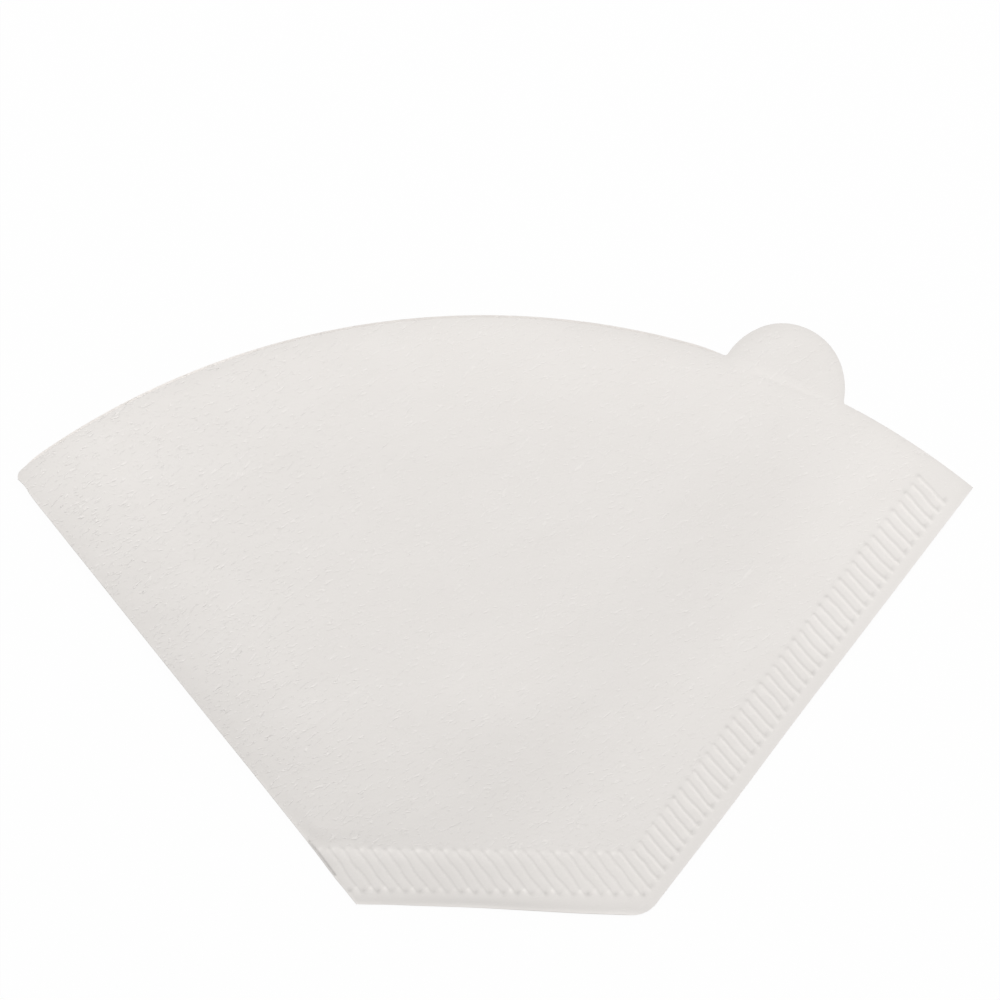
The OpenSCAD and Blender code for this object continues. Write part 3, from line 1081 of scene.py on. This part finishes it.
def strokes(angle, across, along, seed, detail):
    """Noise drawn out along one direction, with cells in millimetres"""
    turn = node(tree, "ShaderNodeMapping")
    turn.inputs["Location"].default_value = (seed, 0, 0)
    turn.inputs["Rotation"].default_value = (0, 0, math.radians(-angle))
    stretch = node(tree, "ShaderNodeMapping")
    stretch.inputs["Scale"].default_value = (1000 / along, 1000 / across, 1000 / across)
    texture = node(tree, "ShaderNodeTexNoise")
    texture.inputs["Scale"].default_value = 1
    texture.inputs["Detail"].default_value = detail
    texture.inputs["Roughness"].default_value = NOISE_ROUGHNESS
    texture.inputs["Distortion"].default_value = NOISE_DISTORTION
    links.new(place.outputs["Object"], turn.inputs["Vector"])
    links.new(turn.outputs[0], stretch.inputs["Vector"])
    links.new(stretch.outputs[0], texture.inputs["Vector"])
    return texture.outputs["Fac"]


def wrinkles(noise_value):
    """Keeps only the crests of a noise, as thin separate wrinkles"""
    crest = node(tree, "ShaderNodeMapRange", interpolation_type="SMOOTHSTEP")
    crest.inputs["From Min"].default_value = WRINKLE_START
    crest.inputs["From Max"].default_value = WRINKLE_FULL
    links.new(noise_value, crest.inputs["Value"])
    return crest.outputs["Result"]


def raised(height_value, height, below=None):
    """Bump of the given height, on top of another one if there is one below"""
    made = node(tree, "ShaderNodeBump")
    made.inputs["Strength"].default_value = 1.0
    made.inputs["Distance"].default_value = height
    links.new(height_value, made.inputs["Height"])
    if below:
        links.new(below, made.inputs["Normal"])
    return made.outputs[0]


def scaled(colour, factor):
    made = node(tree, "ShaderNodeVectorMath", operation="SCALE")
    links.new(colour, made.inputs[0])
    links.new(factor, made.inputs["Scale"])
    return made.outputs[0]


both = node(tree, "ShaderNodeMath", operation="ADD")
links.new(wrinkles(strokes(angle=44, across=0.5, along=2.0, seed=0.1, detail=2)), both.inputs[0])
links.new(wrinkles(strokes(angle=26, across=0.45, along=1.4, seed=0.5, detail=2)), both.inputs[1])
share = node(tree, "ShaderNodeAttribute", attribute_name="creping")
folds = node(tree, "ShaderNodeMath", operation="MULTIPLY")
links.new(both.outputs[0], folds.inputs[0])
links.new(share.outputs["Fac"], folds.inputs[1])
fibres = strokes(angle=10, across=0.22, along=0.5, seed=0.3, detail=2)
crepe = raised(folds.outputs[0], CREPE_H)
links.new(raised(fibres, FIBRE_H, below=crepe), shader.inputs["Normal"])

# Inputs 6 and 7 and output 2 of a colour mix are its two colours and its result
tint = node(tree, "ShaderNodeMix", data_type="RGBA")
tint.inputs[6].default_value = DEEP_PAPER
tint.inputs[7].default_value = PALE_PAPER
links.new(strokes(angle=20, across=9, along=16, seed=0.7, detail=3), tint.inputs[0])
# Painted light and shade from the sheet's attribute, multiplied into the colour
painted_light_and_shade = node(tree, "ShaderNodeAttribute", attribute_name="painted_light_and_shade")
# Painted highlight: the wrinkles' crests are made paler in the colour
crest_highlight = node(tree, "ShaderNodeMath", operation="MULTIPLY_ADD")
crest_highlight.inputs[1].default_value = CREST_HIGHLIGHT
crest_highlight.inputs[2].default_value = 1.0
links.new(folds.outputs[0], crest_highlight.inputs[0])
with_painted_shade = scaled(tint.outputs[2], painted_light_and_shade.outputs["Fac"])
links.new(scaled(with_painted_shade, crest_highlight.outputs[0]), shader.inputs["Base Color"])
mesh.materials.append(material)

# Floor: plain white, seen a little brighter by the camera so that it renders as white paper does
FLOOR = 1.5
FLOOR_Z = -0.00003
FLOOR_WHITE = (0.8, 0.8, 0.8, 1)
FLOOR_GLOW = 0.97

floor_mesh = bpy.data.meshes.new("floor")
corners = [(-FLOOR, -FLOOR), (FLOOR, -FLOOR), (FLOOR, FLOOR), (-FLOOR, FLOOR)]
floor_mesh.from_pydata([(x, y, FLOOR_Z) for x, y in corners], [], [(0, 1, 2, 3)])
floor = bpy.data.objects.new("floor", floor_mesh)
bpy.context.scene.collection.objects.link(floor)

material, tree = new_material("white_floor")
links = tree.links
output = node(tree, "ShaderNodeOutputMaterial")
matt = node(tree, "ShaderNodeBsdfDiffuse")
matt.inputs["Color"].default_value = FLOOR_WHITE
glow = node(tree, "ShaderNodeEmission")
glow.inputs["Strength"].default_value = 1.0
path = node(tree, "ShaderNodeLightPath")
either = node(tree, "ShaderNodeMath", operation="MAXIMUM")
any_of_three = node(tree, "ShaderNodeMath", operation="MAXIMUM")
seen = node(tree, "ShaderNodeMath", operation="MULTIPLY")
seen.inputs[1].default_value = FLOOR_GLOW
blend = node(tree, "ShaderNodeMixShader")
links.new(path.outputs["Is Camera Ray"], either.inputs[0])
links.new(path.outputs["Is Glossy Ray"], either.inputs[1])
links.new(either.outputs[0], any_of_three.inputs[0])
links.new(path.outputs["Is Transmission Ray"], any_of_three.inputs[1])
links.new(any_of_three.outputs[0], seen.inputs[0])
links.new(seen.outputs[0], blend.inputs[0])
links.new(matt.outputs[0], blend.inputs[1])
links.new(glow.outputs[0], blend.inputs[2])
links.new(blend.outputs[0], output.inputs["Surface"])
floor_mesh.materials.append(material)

# World: white to the camera, dimmer as a light
WHITE = (1, 1, 1, 1)
SKY_LIGHT = 0.58

scene = bpy.context.scene
world = bpy.data.worlds.new("studio")
scene.world = world
world.use_nodes = True
tree = world.node_tree
tree.nodes.clear()
links = tree.links
sky = node(tree, "ShaderNodeBackground")
sky.inputs["Color"].default_value = WHITE
sky.inputs["Strength"].default_value = SKY_LIGHT
white = node(tree, "ShaderNodeBackground")
white.inputs["Color"].default_value = WHITE
white.inputs["Strength"].default_value = 1.0
path = node(tree, "ShaderNodeLightPath")
blend = node(tree, "ShaderNodeMixShader")
output = node(tree, "ShaderNodeOutputWorld")
links.new(path.outputs["Is Camera Ray"], blend.inputs[0])
links.new(sky.outputs[0], blend.inputs[1])
links.new(white.outputs[0], blend.inputs[2])
links.new(blend.outputs[0], output.inputs["Surface"])


def lamp(name, azimuth, elevation, distance, width, height, irradiance):
    """Lamp that faces the origin, and would give it that irradiance if it were small"""
    data = bpy.data.lights.new(name, "AREA")
    data.shape = "RECTANGLE"
    data.size = width
    data.size_y = height
    data.energy = irradiance * math.pi * distance * distance
    made = bpy.data.objects.new(name, data)
    flat = math.cos(math.radians(elevation))
    way = Vector((
        flat * math.cos(math.radians(azimuth)),
        flat * math.sin(math.radians(azimuth)),
        math.sin(math.radians(elevation)),
    ))
    made.location = way * distance
    made.rotation_euler = way.to_track_quat("Z", "Y").to_euler()
    scene.collection.objects.link(made)


# A wide soft light from the far side, as in the photograph
lamp("key", azimuth=80, elevation=45, distance=0.9, width=1.8, height=0.4, irradiance=2.755)

# Camera, straight above, with the photograph's framing
MM_PER_PIXEL = 0.17262
FRAME_PIXELS = 1000
CENTRE_COLUMN = 494.9
CENTRE_ROW = 615.1
CAMERA_H = 0.9
SENSOR = 36
centre_x = (FRAME_PIXELS / 2 - CENTRE_COLUMN) * MM_PER_PIXEL / 1000
centre_y = (CENTRE_ROW - FRAME_PIXELS / 2) * MM_PER_PIXEL / 1000
view = bpy.data.cameras.new("camera")
view.sensor_width = SENSOR
view.sensor_height = SENSOR
view.sensor_fit = "HORIZONTAL"
view.lens = SENSOR * CAMERA_H / (MM_PER_PIXEL * FRAME_PIXELS / 1000)
view.clip_start = 0.01
camera = bpy.data.objects.new("camera", view)
camera.location = (centre_x, centre_y, CAMERA_H)
scene.collection.objects.link(camera)
scene.camera = camera

scene.view_settings.view_transform = "Standard"
